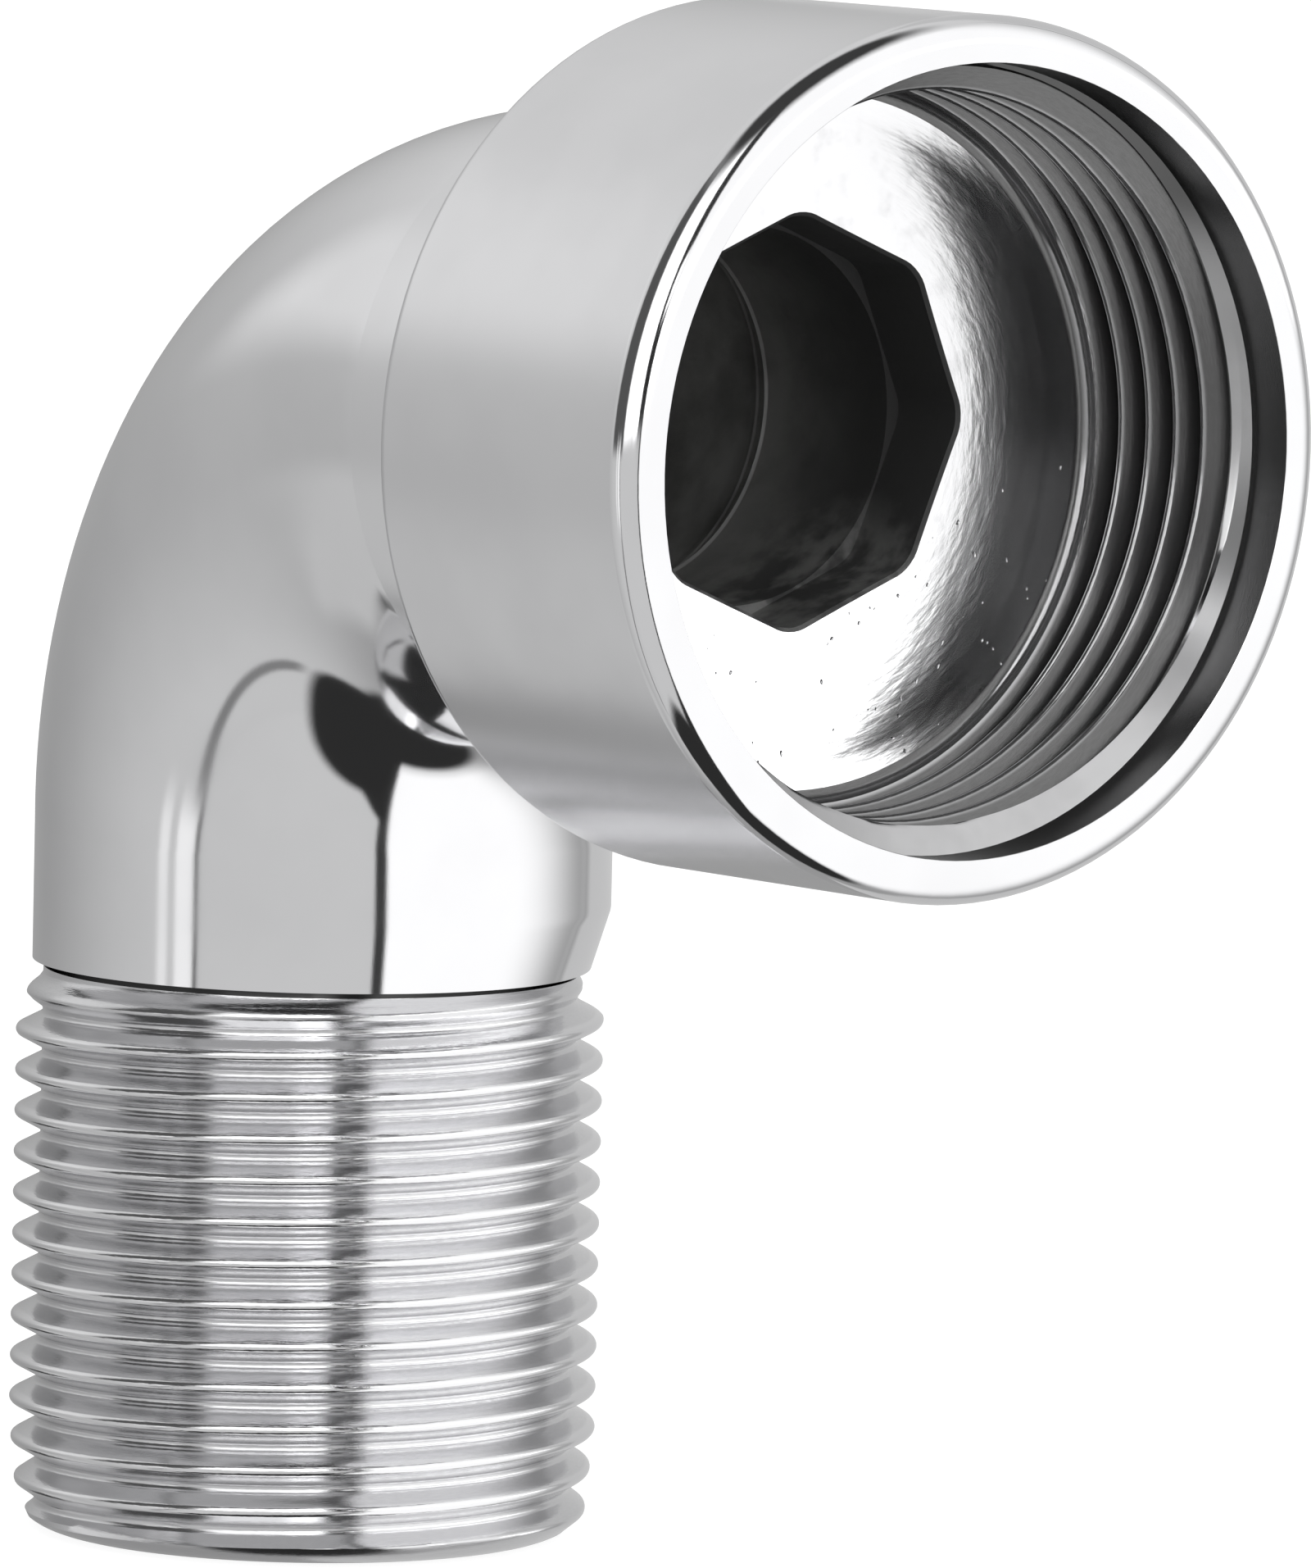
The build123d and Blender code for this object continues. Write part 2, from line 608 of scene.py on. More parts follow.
@dataclass(frozen=True)
class CastPlating(Plating):
    """Plating over the casting's rough-turned floor, with grain drawn out round it and pits low down.

    Attributes:
        height: Height of the axis that the floor was turned about.
        pit_heights: Heights over that axis between which the pits grow in number.
        pit_gain: What is added to the noise at the lower of them.
        pit_levels: Levels of the noise between which a pit's edge lies.
    """

    name: str = "cast_chrome"
    bright: Colour = (0.82, 0.82, 0.83, 1)
    dull_and_shade: Colour = (0.42, 0.42, 0.43, 1)
    sheen: Pair = (0.13, 0.24)
    smear_size: float = 1.6 * MM
    smear_levels: Pair = (0.5, 0.9)
    smear_share: float = 0.35
    height: float = 0.0
    grain_size: float = 0.45 * MM
    grain_depth: float = 0.008 * MM
    grain_reach: float = 4 * MM
    pit_size: float = 0.55 * MM
    pit_depth: float = 0.05 * MM
    pit_heights: Pair = (3 * MM, -9 * MM)
    pit_gain: float = 0.09
    pit_levels: Pair = (0.82, 0.89)

    def pits(self, graph: NodeGraph) -> Socket:
        """A mask of the pits: the peaks of a noise, more of them lower down.

        Args:
            graph: The material's nodes.

        Returns:
            The mask.
        """
        up = graph.parts(graph.place)[2]
        top, bottom = self.pit_heights
        low = graph.ramp(up, self.height + top, self.height + bottom, 0.0, self.pit_gain)
        peaks = graph.math("ADD", graph.noise(graph.place, self.pit_size, 1.0), low)
        return graph.ramp(peaks, *self.pit_levels)

    def grain(self, graph: NodeGraph) -> Socket:
        """Casting grain, as noise drawn out round the socket's axis.

        Args:
            graph: The material's nodes.

        Returns:
            The noise.
        """
        radius, angle = graph.around(Axis.SOCKET, self.height)
        round_it = graph.math("MULTIPLY", angle, self.grain_reach)
        drawn = graph.add("ShaderNodeCombineXYZ", {0: radius, 1: round_it}).outputs[0]
        return graph.noise(drawn, self.grain_size, 3.0)

    def dullness_and_shade(self, graph: NodeGraph) -> Socket:
        """A mask of the pits, with faint smears between them."""
        return graph.math("MAXIMUM", self.pits(graph), self.smears(graph))

    def relief(self, graph: NodeGraph) -> Socket:
        """Casting grain with the pits sunk in it, as a normal."""
        grain = graph.bump(self.grain(graph), self.grain_depth)
        return graph.bump(graph.rest(self.pits(graph)), self.pit_depth, grain)


@dataclass(frozen=True)
class BoreGrainAndPaintedLight(Plating):
    """The waterway's casting skin with painted shade that darkens it towards the port, painted highlights
    along the step's ridges and streaks of painted light low in the bore.

    Attributes:
        highlit_ridges: Reaches of the two ridges with painted highlights, along the socket's axis.
        highlight_width: Half the width of a ridge's painted highlight.
        highlight_metal: How far a ridge's painted highlight is metal.
        highlight_levels: Levels of the noise between which the painted highlights change.
        highlight_gains: Strength of the painted highlights at those levels.
        port_shade: Reaches between which painted shade darkens the skin towards the port.
        floor: Height below which streaks of painted light lighten the port's bore.
        floor_soft: Size of those streaks.
        streak_levels: Levels of the noise between which a streak's edge lies.
        streak_share: How far the streaks of painted light lighten the bore.
    """

    name: str = "waterway_skin"
    # The dark colour is painted shade, strongest at the port.
    bright: Colour = (0.60, 0.60, 0.59, 1)
    dull_and_shade: Colour = (0.08, 0.08, 0.08, 1)
    sheen: Pair = (0.30, 0.60)
    smear_share: float = 0.5
    metal: float = 0.15
    highlit_ridges: Pair = (0.0, 0.0)
    highlight_width: float = 0.25 * MM
    highlight_metal: float = 0.3
    highlight_levels: Pair = (0.38, 0.6)
    highlight_gains: Pair = (4.0, 0.5)
    port_shade: Pair = (22 * MM, 37 * MM)
    floor: float = 0.0
    floor_soft: float = 2.5 * MM
    streak_levels: Pair = (0.40, 0.70)
    streak_share: float = 0.6
    grain_size: float = 0.5 * MM
    grain_depth: float = 0.03 * MM

    def ridge_highlights(self, graph: NodeGraph) -> Socket:
        """A patchy mask of the ridges' painted highlights.

        Args:
            graph: The material's nodes.

        Returns:
            The mask.
        """
        ahead = graph.parts(graph.place)[0]
        soft = (self.highlight_width, self.highlight_width)
        ridges = [graph.band(ahead, (ridge, ridge), soft) for ridge in self.highlit_ridges]
        patches = graph.noise(graph.place, self.smear_size)
        patchy = graph.ramp(patches, *self.highlight_levels, *self.highlight_gains)
        return graph.math("MULTIPLY", graph.math("ADD", *ridges), patchy)

    def metallic(self, graph: NodeGraph) -> Value:
        """More metal along the ridges' painted highlights."""
        return graph.mix(self.ridge_highlights(graph), self.metal, self.highlight_metal)

    def dullness_and_shade(self, graph: NodeGraph) -> Socket:
        """A mask of the painted shade towards the port, thinner in smears, lifted by streaks of painted
        light low down and broken by the ridges' painted highlights.

        Args:
            graph: The material's nodes.

        Returns:
            The mask.
        """
        ahead, _, up = graph.parts(graph.place)
        # Painted light: lighter streaks low in the bore, where light falls in through the mouth.
        lit_low = graph.ramp(up, self.floor + self.floor_soft, self.floor - self.floor_soft)
        streaks = graph.noise(graph.place, self.floor_soft, 4.0)
        streaks = graph.ramp(streaks, *self.streak_levels, 0.0, self.streak_share)
        # Painted shade, darkest at the port.
        dark = graph.ramp(ahead, *self.port_shade)
        dark = graph.math("MULTIPLY", dark, graph.rest(graph.math("MULTIPLY", lit_low, streaks)))
        skin = graph.mix(dark, self.smears(graph), 1.0)
        return graph.math("MULTIPLY", skin, graph.rest(self.ridge_highlights(graph)))

    def relief(self, graph: NodeGraph) -> Socket:
        """Casting grain, as a normal."""
        return graph.bump(graph.noise(graph.place, self.grain_size, 4.0), self.grain_depth)


class Zone(Enum):
    """The kinds of surface on the casting, by the order of their material slots."""

    POLISHED = 0
    BARREL = 1
    LEG_THREAD = 2
    SOCKET_THREAD = 3
    LEAD_IN = 4
    FLOOR = 5
    WATERWAY = 6
    # Painted shade: the shadow in the groove under the neck and the shade on the socket thread's flanks
    # that face the floor.
    GROOVE = 7


@dataclass
class ElbowBody:
    """The whole casting as one closed skin: leg, bend, socket, port and waterway.

    Radii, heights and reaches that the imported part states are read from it, and the rest are named here.
    """

    leg_thread_depth: float = 1.48 * MM
    leg_crest_at: float = 31.064 * MM
    thread_pitch: float = 2.309 * MM
    leg_thread_len: float = 31.6 * MM
    end_round: float = 2.8 * MM
    runout_len: float = 0.5 * MM
    runout_fade: float = 2.4 * MM
    end_ease_len: float = 6.0 * MM
    end_ease: float = 0.6
    neck_r: float = 16.2 * MM
    neck_len: float = 7.6 * MM
    neck_offset: float = 0.95 * MM
    worn_foot_depth: float = 1.05 * MM
    worn_foot_height: float = 3.4 * MM
    worn_foot_angle: float = 52.15
    worn_foot_focus: int = 3
    bend_radius: float = 24.7 * MM
    outlet_r: float = 17.105 * MM
    outlet_len: float = 10.85 * MM
    shoulder_round: float = 1.0 * MM
    root_round: float = 0.8 * MM
    rim_round: float = 1.5 * MM
    rim_break: float = 0.25 * MM
    lead_in_len: float = 0.95 * MM
    # Heights over the socket's axis between which painted shade darkens the lead-in.
    shade_rise: Pair = (7 * MM, 14 * MM)
    rim_edge: float = 0.02 * MM
    socket_thread_depth: float = 1.48 * MM
    socket_crest_at: float = 44.567 * MM
    tap_end_slope: float = 2.0
    floor_round: float = 0.8 * MM
    floor_dish: float = 1.0 * MM
    dish_curve: float = 0.77
    floor_depth: float = 14.9 * MM
    port_sides: int = 8
    port_flats: float = 20.9 * MM
    port_depth: float = 5.0 * MM
    port_corner_round: float = 1.0 * MM
    port_rise: float = 1.0 * MM
    port_edge: float = 0.2 * MM
    port_bore_r: float = 10.3 * MM
    bore_bend_radius: float = 24.0 * MM
    bore_step_len: float = 3.0 * MM
    bore_edge: float = 0.4 * MM
    ridge_gap: float = 1.5 * MM
    ridge_width: float = 0.3 * MM
    ridge_height: float = 0.13 * MM
    # Drop below the port under which streaks of painted light lighten the waterway.
    streak_drop: float = 6 * MM
    neck_steps: int = 30
    bend_steps: int = 40
    dish_steps: int = 8
    end_steps: int = 5
    fillet_steps: int = 6
    shoulder_steps: int = 8
    rim_steps: int = 12
    corner_steps: int = 5

    def __post_init__(self) -> None:
        """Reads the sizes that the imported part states."""
        mounts = {mount["name"]: mount for mount in frame["record"]["mounts"]}
        low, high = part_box(NODE)
        self.leg_r = mounts["inlet_thread"]["dims"]["r_mm"] * MM
        self.bore_r = mounts["inlet_bore"]["dims"]["r_mm"] * MM
        self.bore_rise = mounts["inlet_bore"]["dims"]["length_mm"] * MM
        self.socket_r = mounts["socket_thread"]["dims"]["r_mm"] * MM
        self.mouth_r = mounts["socket_mouth"]["dims"]["r_mm"] * MM
        self.axis_height = mounts["socket_thread"]["pos_m"][2]
        self.reach = mounts["rim_face"]["pos_m"][0]
        self.mouth_depth = mounts["socket_mouth"]["dims"]["length_mm"] * MM + self.rim_break
        self.barrel_r = high.z - self.axis_height
        self.root_r = self.leg_r - self.leg_thread_depth
        self.foot_height = self.leg_thread_len + self.runout_len
        self.leg_len = self.foot_height + self.neck_len
        self.end_face_r = self.leg_r - self.end_round
        inset = self.root_r - self.end_face_r
        self.end_skin_z = self.end_round - math.sqrt(self.end_round**2 - inset**2)
        self.outlet_x = self.neck_offset + self.bend_radius
        self.back_x = self.outlet_x + self.outlet_len
        self.floor_x = self.reach - self.floor_depth
        self.port_x = self.floor_x - self.floor_dish
        self.port_z = self.axis_height + self.port_rise
        self.lead_in_x = self.reach - self.mouth_depth - self.lead_in_len
        self.ledge_x = self.port_x - self.port_depth
        self.dish_inner_r = self.port_bore_r - self.port_rise
        self.dish_angle = math.atan(self.floor_dish / (self.socket_r - self.dish_inner_r))
        self.fillet_x = self.floor_x + self.floor_round * math.tan((QUARTER_TURN - self.dish_angle) / 2)
        self.dish_r = self.port_flats / 2 / math.cos(math.pi / self.port_sides) + 2 * self.port_rise
        self.socket_axis = Vector((0, 0, self.axis_height))

    def turned(self, name: str, profile: Sequence[Pair]) -> Piece:
        """A skin turned about the socket's axis from a profile of reaches and radii."""
        points = [Vector((reach, 0, self.axis_height + radius)) for reach, radius in profile]
        return turn(name, points, self.socket_axis, Axis.SOCKET)

    def leg_thread(self) -> Piece:
        """Builds the leg's outside thread, rounded off at the open end and cut back at the run-out.

        Returns:
            The thread's skin.
        """
        thread = PipeThread(
            "leg_thread", Axis.LEG, self.thread_pitch, self.leg_thread_depth, self.leg_r, True,
            self.leg_crest_at, (self.end_skin_z, self.leg_thread_len),
        )

        def blank(height: np.ndarray, radius: np.ndarray) -> np.ndarray:
            """Radii of a thread that is eased at its rounded end and fades out under the neck.

            Args:
                height: Places along the leg.
                radius: Radii of the full helix there.

            Returns:
                The trimmed radii.
            """
            below = np.clip(self.end_round - height, 0, self.end_round)
            rounded = self.end_face_r + np.sqrt(self.end_round**2 - below**2)
            places = (0, self.end_ease_len, self.leg_thread_len - self.runout_fade, self.leg_thread_len)
            share = np.interp(height, places, (self.end_ease, 1, 1, 0))
            return np.minimum(self.root_r + (radius - self.root_r) * share, rounded)

        return thread.build(blank)

    def leg_end(self) -> Piece:
        """Turns the leg's rounded end below the thread and its flat face in to the bore's edge.

        Returns:
            The end's skin.
        """
        start = math.degrees(math.asin((self.end_skin_z - self.end_round) / self.end_round))
        profile = arc((self.end_face_r, self.end_round), self.end_round, start, -90, self.end_steps)
        profile += [(self.bore_r + self.bore_edge, 0.0)]
        points = [Vector((radius, 0, height)) for radius, height in profile]
        return turn("leg_end", points, Vector(), Axis.LEG)

    def neck(self) -> Piece:
        """Builds the run-out groove, the ledge at the neck's foot and the stem, narrowed by wear on one
        side.

        Returns:
            The neck's skin.
        """
        skin = add_ring("neck", self.root_r, Vector((0, 0, self.leg_thread_len)), Axis.LEG)
        centre = Vector((self.neck_offset, 0, self.foot_height))
        widen = self.neck_r / self.root_r
        rise = self.neck_len / self.neck_steps
        with editing(skin):
            extrude((0, 0, self.runout_len))
            extrude((self.neck_offset, 0, 0))
            resize((widen, widen, 1), centre)
            for _ in range(self.neck_steps):
                extrude((0, 0, rise))
        for corner in skin.data.vertices:
            off = corner.co - centre
            if off.z < -WELD:
                continue
            aside = math.degrees(math.atan2(off.y, off.x)) - self.worn_foot_angle
            share = max(0.0, math.cos(math.radians(aside))) ** self.worn_foot_focus
            low = max(0.0, 1 - off.z / self.worn_foot_height)
            shrink = 1 - self.worn_foot_depth * share * low / self.neck_r
            corner.co.x = centre.x + off.x * shrink
            corner.co.y = centre.y + off.y * shrink
        return skin

    def paint_groove_shade(self, skin: Piece) -> None:
        """Paints the shadow in the groove under the neck.

        Args:
            skin: The neck's skin.
        """
        for face in skin.data.polygons:
            if face.center.z < self.foot_height - WELD:
                face.material_index = Zone.GROOVE.value

    def bend(self) -> Piece:
        """Sweeps the neck's ring through a right angle while it swells to the outlet's radius.

        Returns:
            The bend's skin.
        """
        skin = add_ring("bend", self.neck_r, Vector((self.neck_offset, 0, self.leg_len)), Axis.LEG)
        corner = Vector((self.outlet_x, 0, self.leg_len))
        step = QUARTER_TURN / self.bend_steps
        radii = np.linspace(self.neck_r, self.outlet_r, self.bend_steps + 1)
        with editing(skin):
            for count, (before, after) in enumerate(zip(radii, radii[1:]), start=1):
                bpy.ops.mesh.spin(steps=1, angle=step, center=corner, axis=SPIN_UP)
                turned = Vector((-math.cos(count * step), 0, math.sin(count * step)))
                centre = corner + self.bend_radius * turned
                resize((after / before,) * 3, centre)
        return skin

    def barrel(self) -> Piece:
        """Turns the outlet's straight run, the crease at the socket's back, its shoulder and its outside.

        Returns:
            The barrel's skin.
        """
        root, shoulder = self.root_round, self.shoulder_round
        profile = [(self.outlet_x, self.outlet_r)]
        profile += arc((self.back_x - root, self.outlet_r + root), root, -90, 0, self.fillet_steps)
        centre = (self.back_x + shoulder, self.barrel_r - shoulder)
        profile += arc(centre, shoulder, 180, 90, self.shoulder_steps)
        profile += [(self.reach - self.rim_round, self.barrel_r)]
        return self.turned("barrel", profile)

    def rim(self) -> Piece:
        """Turns the rim's rounding, its face and the mouth's broken edge.

        Returns:
            The rim's skin.
        """
        rim = self.rim_round
        profile = arc((self.reach - rim, self.barrel_r - rim), rim, 90, 0, self.rim_steps)
        profile += [(self.reach, self.mouth_r + self.rim_edge), (self.reach - self.rim_edge, self.mouth_r)]
        return self.turned("rim", profile)

    def mouth(self) -> Piece:
        """Turns the smooth mouth, from its broken edge down to the lead-in."""
        places = (self.reach - self.rim_edge, self.reach - self.mouth_depth)
        return self.turned("mouth", [(place, self.mouth_r) for place in places])

    def socket_thread(self) -> Piece:
        """Builds the socket's inside thread, cut away at the lead-in and fading out at the floor.

        Returns:
            The thread's skin.
        """
        mouth_x = self.reach - self.mouth_depth
        thread = PipeThread(
            "socket_thread", Axis.SOCKET, self.thread_pitch, self.socket_thread_depth, self.socket_r, False,
            self.socket_crest_at, (self.fillet_x, mouth_x),
        )

        def tapped(along: np.ndarray, radius: np.ndarray) -> np.ndarray:
            """Radii left by the lead-in's cone and by the tap's end at the floor."""
            tap_end = self.socket_r + self.tap_end_slope * (along - self.fillet_x)
            return np.maximum(np.minimum(radius, tap_end), self.lead_in_r(along))

        skin = thread.build(tapped)
        with editing(skin):
            bpy.ops.transform.translate(value=self.socket_axis)
        return skin

    def lead_in_r(self, along: float | np.ndarray) -> float | np.ndarray:
        """Radius of the lead-in's cone at a reach along the socket's axis."""
        return self.socket_r + (self.mouth_r - self.socket_r) * (along - self.lead_in_x) / self.lead_in_len

    def assign_ends_and_paint_shade(self, skin: Piece) -> None:
        """Gives the lead-in and the floor's fillet their materials, and paints shade on the thread's flanks
        that face the floor.

        Args:
            skin: The skin of the socket's thread or floor.
        """
        for face in skin.data.polygons:
            inward = self.socket_axis - face.center
            inward.x = 0
            if face.center.x > self.lead_in_x:
                face.material_index = Zone.LEAD_IN.value
            elif self.from_socket_axis(face.center) < self.socket_r - self.floor_round:
                continue
            # Painted shade on the flanks that face the floor.
            elif face.normal.x * face.normal.dot(inward) < 0:
                face.material_index = Zone.GROOVE.value
            else:
                face.material_index = Zone.SOCKET_THREAD.value

    def dish_x(self, radius: float) -> float:
        """Reach of the dished floor at a radius from the socket's axis."""
        share = (self.socket_r - radius) / (self.socket_r - self.dish_inner_r)
        return self.floor_x - self.floor_dish * share**self.dish_curve

    def floor(self) -> Piece:
        """Turns the socket's dished floor, from its fillet in to a ring just clear of the port.

        Returns:
            The floor's skin.
        """
        inner_r = self.socket_r - self.floor_round
        end = 180 - math.degrees(self.dish_angle)
        profile = arc((self.fillet_x, inner_r), self.floor_round, 90, end, self.fillet_steps)
        rings = np.linspace(inner_r, self.dish_r, self.dish_steps + 1)[1:]
        profile += [(self.dish_x(radius), radius) for radius in rings]
        return self.turned("floor", profile)

    def port(self) -> Piece:
        """Cuts the eight-sided port's pocket, from its broken edge on the dish down to the ledge.

        Returns:
            The port's skin.
        """
        centre = Vector((self.port_x, 0, self.port_z))
        flats = self.port_flats / 2 + self.port_edge
        corner_r = flats / math.cos(math.pi / self.port_sides)
        skin = add_ring("port", corner_r, centre, Axis.SOCKET, self.port_sides)
        side_share = RING // self.port_sides
        with editing(skin):
            bpy.ops.mesh.edge_face_add()
            bpy.ops.mesh.bevel(
                offset=self.port_corner_round, segments=self.corner_steps, affect="VERTICES", profile=0.5
            )
            bpy.ops.mesh.select_all(action="SELECT")
            bpy.ops.mesh.delete(type="ONLY_FACE")
            half_side = flats * math.tan(math.pi / self.port_sides)
            select_edges(skin, lambda first, second: (first - second).length > half_side)
            bpy.ops.mesh.subdivide(number_cuts=side_share - self.corner_steps - 1)
        for corner in skin.data.vertices:
            corner.co.x = self.dish_x(math.hypot(corner.co.y, corner.co.z - self.axis_height))
        ledge = Vector((self.ledge_x, 0, self.port_z))
        shrink = self.port_flats / 2 / flats
        with editing(skin):
            extrude((-self.port_edge, 0, 0))
            resize((1, shrink, shrink), centre)
            extrude(ledge - centre)
            resize((0, 1, 1), ledge)
        return skin

    def waterway(self) -> Piece:
        """Runs the leg's bore up from its broken edge, round the bend and through the step to the port.

        Returns:
            The waterway's skin.
        """
        edge = self.bore_edge
        skin = add_ring("waterway", self.bore_r + edge, Vector(), Axis.LEG)
        corner = Vector((self.bore_bend_radius, 0, self.bore_rise))
        widen = self.bore_r / (self.bore_r + edge)
        with editing(skin):
            extrude((0, 0, edge))
            resize((widen, widen, 1), (0, 0, edge))
            extrude((0, 0, self.bore_rise - edge))
            bpy.ops.mesh.spin(steps=self.bend_steps, angle=QUARTER_TURN, center=corner, axis=SPIN_UP)
            place, size = self.bore_bend_radius, self.bore_r
            for reach, radius in self.bore_steps():
                extrude((reach - place, 0, 0))
                narrow = (1, radius / size, radius / size)
                resize(narrow, (reach, 0, self.port_z))
                place, size = reach, radius
        return skin

    def bore_steps(self) -> list[Pair]:
        """Shape of the bore from the bend to the port's ledge: a conical step with two fine ridges.

        Returns:
            Reaches and radii in order.
        """
        start, end = self.bore_bend_radius, self.bore_bend_radius + self.bore_step_len
        rises = {-self.ridge_width / 2: 0.0, 0.0: self.ridge_height, self.ridge_width / 2: 0.0}
        steps = []
        for ridge in (end - self.ridge_gap, end):
            for off, rise in rises.items():
                radius = np.interp(ridge + off, (start, end), (self.bore_r, self.port_bore_r))
                steps.append((ridge + off, float(radius) - rise))
        return steps + [(self.ledge_x, self.port_bore_r)]

    def from_socket_axis(self, point: Vector) -> float:
        """Distance of a point from the socket's axis."""
        return math.hypot(point.y, point.z - self.axis_height)

    def at_floor_gap(self, point: Vector) -> bool:
        """Whether a point is on the open ring of the dish, or on the port's ring that faces it."""
        radius = self.from_socket_axis(point)
        return abs(point.x - self.dish_x(radius)) < WELD and radius < self.dish_r + WELD

    def finishes_and_painted_light(self) -> list[bpy.types.Material]:
        """Makes the finish of each zone, with the painted shade, painted light and painted highlights that
        some of them carry.

        Returns:
            The materials in the order of the zones.
        """
        leg_sizes = {"root_r": self.root_r, "crest_r": self.leg_r}
        tapped_r = self.socket_r + self.socket_thread_depth
        ridge = self.bore_bend_radius + self.bore_step_len
        # Heights of the lead-in's painted shade.
        shade_heights = tuple(self.axis_height + rise for rise in self.shade_rise)
        socket_sizes = {"height": self.axis_height, "root_r": tapped_r, "crest_r": self.socket_r}
        platings = {
            Zone.POLISHED: PolishedPlating("polished_chrome"),
            Zone.BARREL: PolishedPlating("satin_chrome", sheen=(0.20, 0.25)),
            Zone.LEG_THREAD: ThreadPlating("leg_thread_chrome", axis=Axis.LEG, **leg_sizes),
            # Painted shade inside the socket: darker colours, less metal and a darker edge tint than the
            # leg's thread.
            Zone.SOCKET_THREAD: ThreadPlating(
                "socket_thread_chrome", (0.44, 0.44, 0.445, 1), (0.15, 0.15, 0.15, 1), (0.10, 0.24),
                metal=0.8, edge=(0.2, 0.2, 0.2, 1), axis=Axis.SOCKET, crest_share=0.10,
                mark_share=0.08, mark_depth=0.004 * MM, **socket_sizes,
            ),
            Zone.LEAD_IN: TurnedPlating(shade_heights=shade_heights),
            Zone.FLOOR: CastPlating(height=self.axis_height),
            # The waterway's painted shade towards the port, with painted highlights along the ridges and
            # streaks of painted light low down.
            Zone.WATERWAY: BoreGrainAndPaintedLight(
                highlit_ridges=(ridge - self.ridge_gap, ridge), floor=self.port_z - self.streak_drop
            ),
            # Painted shade: near-black chrome with a dark edge tint, for the groove's shadow and the
            # thread's shaded flanks.
            Zone.GROOVE: PolishedPlating(
                "groove_chrome", (0.05, 0.05, 0.05, 1), (0.03, 0.03, 0.03, 1), (0.2, 0.3),
                edge=(0.2, 0.2, 0.2, 1),
            ),
        }
        return [platings[zone].material() for zone in Zone]

    def build(self) -> Piece:
        """Models every stretch of the casting, joins them and closes the skin.

        Returns:
            The finished piece.
        """
        stretches = {
            self.leg_end: Zone.LEG_THREAD,
            self.leg_thread: Zone.LEG_THREAD,
            self.neck: Zone.POLISHED,
            self.bend: Zone.POLISHED,
            self.barrel: Zone.BARREL,
            self.rim: Zone.POLISHED,
            # The smooth mouth takes the socket thread's painted shade.
            self.mouth: Zone.SOCKET_THREAD,
            self.socket_thread: Zone.SOCKET_THREAD,
            self.floor: Zone.FLOOR,
            self.port: Zone.WATERWAY,
            self.waterway: Zone.WATERWAY,
        }
        finishes_and_painted_light = self.finishes_and_painted_light()
        skins = []
        for model, zone in stretches.items():
            skin = model()
            for finish in finishes_and_painted_light:
                skin.data.materials.append(finish)
            skin.data.polygons.foreach_set("material_index", [zone.value] * len(skin.data.polygons))
            # The socket's ends get their materials and their painted shade.
            if model in (self.socket_thread, self.floor):
                self.assign_ends_and_paint_shade(skin)
            # The neck's groove gets its painted shadow.
            if model == self.neck:
                self.paint_groove_shade(skin)
            log.info("%s: %d faces", skin.name, len(skin.data.polygons))
            skins.append(skin)
        activate(*skins)
        bpy.ops.object.join()
        piece = bpy.context.object
        piece.name = piece.data.name = "elbow_skin"
        gaps = {
            Zone.FLOOR: self.at_floor_gap,
            Zone.WATERWAY: lambda point: abs(point.x - self.ledge_x) < WELD,
        }
        with editing(piece):
            bpy.ops.mesh.remove_doubles(threshold=WELD)
            for zone, inside in gaps.items():
                select_edges(piece, lambda first, second: inside(first) and inside(second))
                bpy.ops.mesh.bridge_edge_loops()
                piece.active_material_index = zone.value
                bpy.ops.object.material_slot_assign()
            bpy.ops.mesh.select_all(action="SELECT")
            bpy.ops.mesh.normals_make_consistent(inside=False)
        bpy.ops.object.shade_smooth_by_angle(angle=SHARP_ANGLE)
        bpy.ops.object.modifier_add(type="WEIGHTED_NORMAL")
        weighting = piece.modifiers[-1]
        weighting.keep_sharp = True
        bpy.ops.object.modifier_apply(modifier=weighting.name)
        return piece


@dataclass(frozen=True)
class Patch:
    """A lamp, card, line or gap of the studio, as a patch of the directions round the elbow.

    Attributes:
        azimuth: Its left and right edge, in degrees to the right of the camera.
        elevation: Its lower and upper edge, in degrees above the horizon.
        level: Its brightness.
        side_soft: Half the width of its soft left and right edge, in degrees.
        end_soft: Half the width of its soft lower and upper edge, in degrees.
    """

    azimuth: Pair
    elevation: Pair
    level: float
    side_soft: Pair = (2.0, 2.0)
    end_soft: Pair = (3.0, 3.0)

    def paint(self, graph: NodeGraph, level: Value, azimuth: Value, elevation: Value) -> Socket:
        """Lays the patch over the surroundings.

        Args:
            graph: The world's nodes.
            level: Brightness of the surroundings without it.
            azimuth: Degrees to the right of the camera.
            elevation: Degrees above the horizon.

        Returns:
            The brightness with the patch.
        """
        across = graph.band(azimuth, self.azimuth, self.side_soft)
        mask = graph.math("MULTIPLY", across, graph.band(elevation, self.elevation, self.end_soft))
        return graph.mix(mask, level, self.level)


